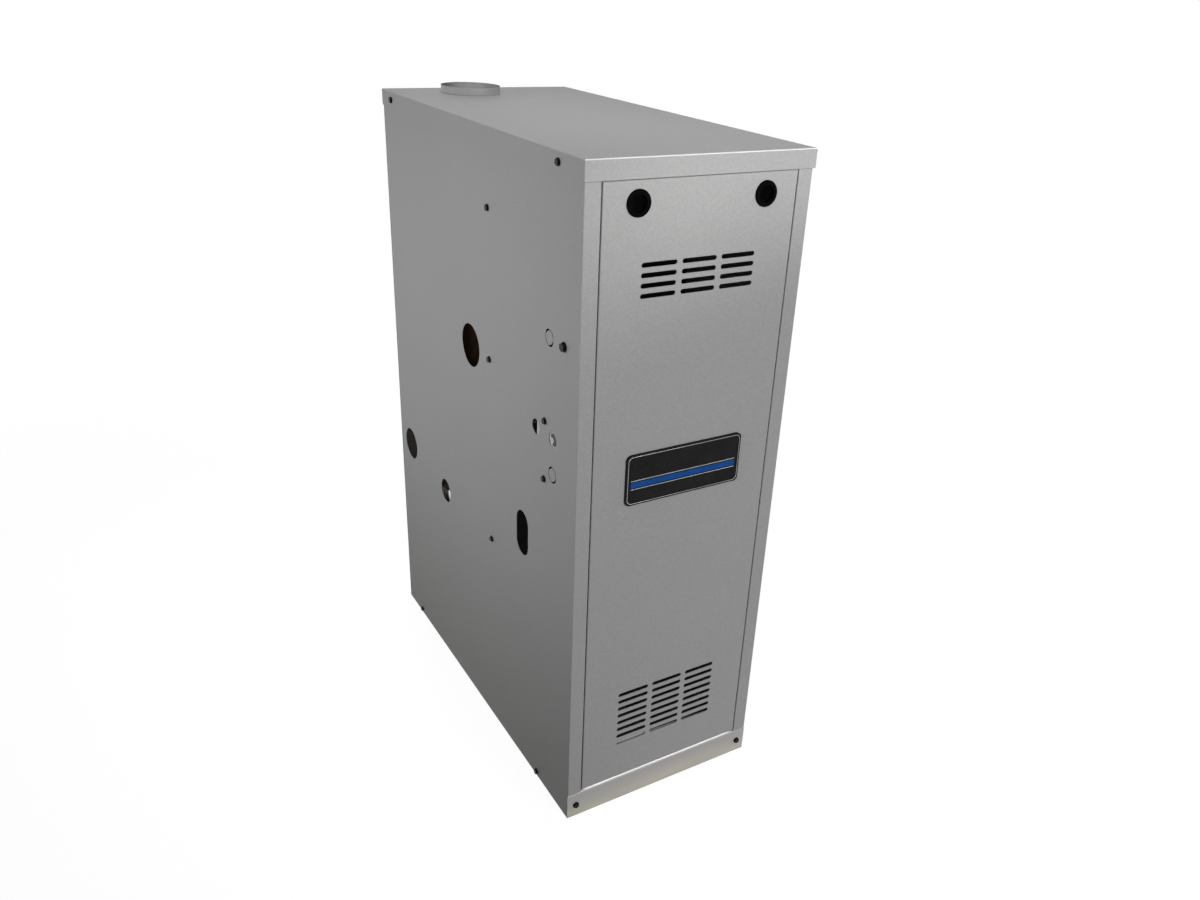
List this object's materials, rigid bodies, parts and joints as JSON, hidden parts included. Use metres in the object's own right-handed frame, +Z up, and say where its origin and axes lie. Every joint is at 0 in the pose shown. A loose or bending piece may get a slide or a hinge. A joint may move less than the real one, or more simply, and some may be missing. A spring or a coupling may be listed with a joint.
{
  "type": "gas boiler",
  "caption": "Floor-standing gas hot-water boiler with a silver sheet jacket, pull-off front panel, cast-iron sections, gas train and top flue collar.",
  "frame": {"origin": "on the floor under the middle of the jacket", "axes": "+Z up, -Y towards the front panel, -X towards the side with the pipe holes"},
  "size_m": [0.3542, 0.7158, 1.028],
  "materials": {
    "jacket": "silver-grey metallic baked enamel, satin, with a fine mottle",
    "plated_sheet": "galvanised sheet",
    "spring_steel": "plated spring steel",
    "black_screw": "black coated hex-head screws",
    "grommet": "black moulded plastic",
    "badge": "glossy black with a bright rim and a blue band",
    "hot_steel": "heat-dulled steel",
    "fibre_board": "pressed mineral fibre board",
    "burner_steel": "stainless tube, heat tinted",
    "black_plastic": "black moulded plastic",
    "red_plastic": "red button",
    "ceramic": "glazed ceramic insulator with a steel rod",
    "lead_rubber": "silicone-covered ignition lead",
    "black_pipe": "black iron gas pipe",
    "brass": "turned brass",
    "valve_aluminium": "die-cast aluminium",
    "blue_plastic": "blue control knob",
    "iron": "raw cast iron with a film of brown rust",
    "bright_steel": "bright zinc-plated steel",
    "galvanised": "galvanised steel",
    "housing_paint": "black painted steel",
    "housing_paint_grey": "grey painted steel",
    "tube_rubber": "silicone tube",
    "transformer_core": "varnished laminations and winding",
    "white_plastic": "white dial",
    "red_paint": "red pointer",
    "lens_glass": "clear gauge lens",
    "conduit_steel": "flexible steel conduit"
  },
  "bodies": {
    "boiler": {"base_pan": "plated_sheet", "left_side_panel": "jacket", "right_side_panel": "jacket", "rear_panel": "jacket", "top_cap": "jacket", "front_rail": "jacket", "cross_brace": "plated_sheet", "panel_clips": "spring_steel", "vestibule_panel": "plated_sheet", "cap_screws": "black_screw", "side_screws": "black_screw", "rail_screws": "black_screw", "rear_screws": "black_screw", "combustion_chamber": "hot_steel", "base_insulation": "fibre_board", "burners": "burner_steel", "burner_access_panel": "plated_sheet", "access_screws": "spring_steel", "rollout_switch": "black_plastic", "igniter": "ceramic", "flame_sensor": "ceramic", "ignition_leads": "lead_rubber", "gas_manifold": "black_pipe", "gas_orifices": "brass", "gas_valve": "valve_aluminium", "section_left": "iron", "section_centre": "iron", "section_right": "iron", "push_nipples": "bright_steel", "tie_rods": "bright_steel", "drain_plug": "bright_steel", "flue_collector": "galvanised", "inducer_housing": "housing_paint", "inducer_motor": "housing_paint", "vent_elbow": "galvanised", "vent_collar": "galvanised", "pressure_switch": "black_plastic", "pressure_tube": "tube_rubber", "junction_box": "galvanised", "junction_box_cover": "galvanised", "transformer": "transformer_core", "ignition_control": "black_plastic", "aquastat_body": "housing_paint_grey", "aquastat_well": "brass", "gauge_body": "black_plastic", "gauge_lens": "lens_glass", "wiring_conduit": "conduit_steel"},
    "door_panel": {"front_panel": "jacket", "finger_grommets": "grommet", "badge_plate": "badge", "panel_studs": "spring_steel"},
    "inducer_rotor": {"inducer_shaft": "bright_steel", "inducer_wheel": "galvanised"},
    "gas_knob": {"gas_valve_knob": "blue_plastic"},
    "reset_button": {"rollout_reset_button": "red_plastic"},
    "sight_cover": {"sight_port_cover": "spring_steel"},
    "limit_dial": {"aquastat_dial": "white_plastic"},
    "gauge_pointer": {"gauge_needle": "red_paint"}
  },
  "joints": [
    {"name": "front_panel_pull", "type": "slide", "parent": "boiler", "child": "door_panel", "axis": [0, -1, 0], "range_m": [0, 0.4]},
    {"name": "inducer_spin", "type": "hinge", "parent": "boiler", "child": "inducer_rotor", "pos_m": [0.047, 0.1155, 0.858], "axis": [0, 0, 1], "continuous": true},
    {"name": "gas_knob_turn", "type": "hinge", "parent": "boiler", "child": "gas_knob", "pos_m": [-0.09125, -0.2188, 0.448], "axis": [0, -1, 0], "range_deg": [0, 90]},
    {"name": "rollout_reset_press", "type": "slide", "parent": "boiler", "child": "reset_button", "axis": [0, 1, 0], "range_m": [0, 0.002], "stiffness_N_per_m": 300},
    {"name": "sight_cover_swing", "type": "hinge", "parent": "boiler", "child": "sight_cover", "pos_m": [0.034, -0.069, 0.288], "axis": [0, 1, 0], "range_deg": [0, 100]},
    {"name": "limit_dial_turn", "type": "hinge", "parent": "boiler", "child": "limit_dial", "pos_m": [0, -0.1335, 0.676], "axis": [0, -1, 0], "range_deg": [0, 270]},
    {"name": "gauge_needle_turn", "type": "hinge", "parent": "boiler", "child": "gauge_pointer", "pos_m": [0.086, -0.1025, 0.676], "axis": [0, 1, 0], "range_deg": [0, 270]}
  ]
}
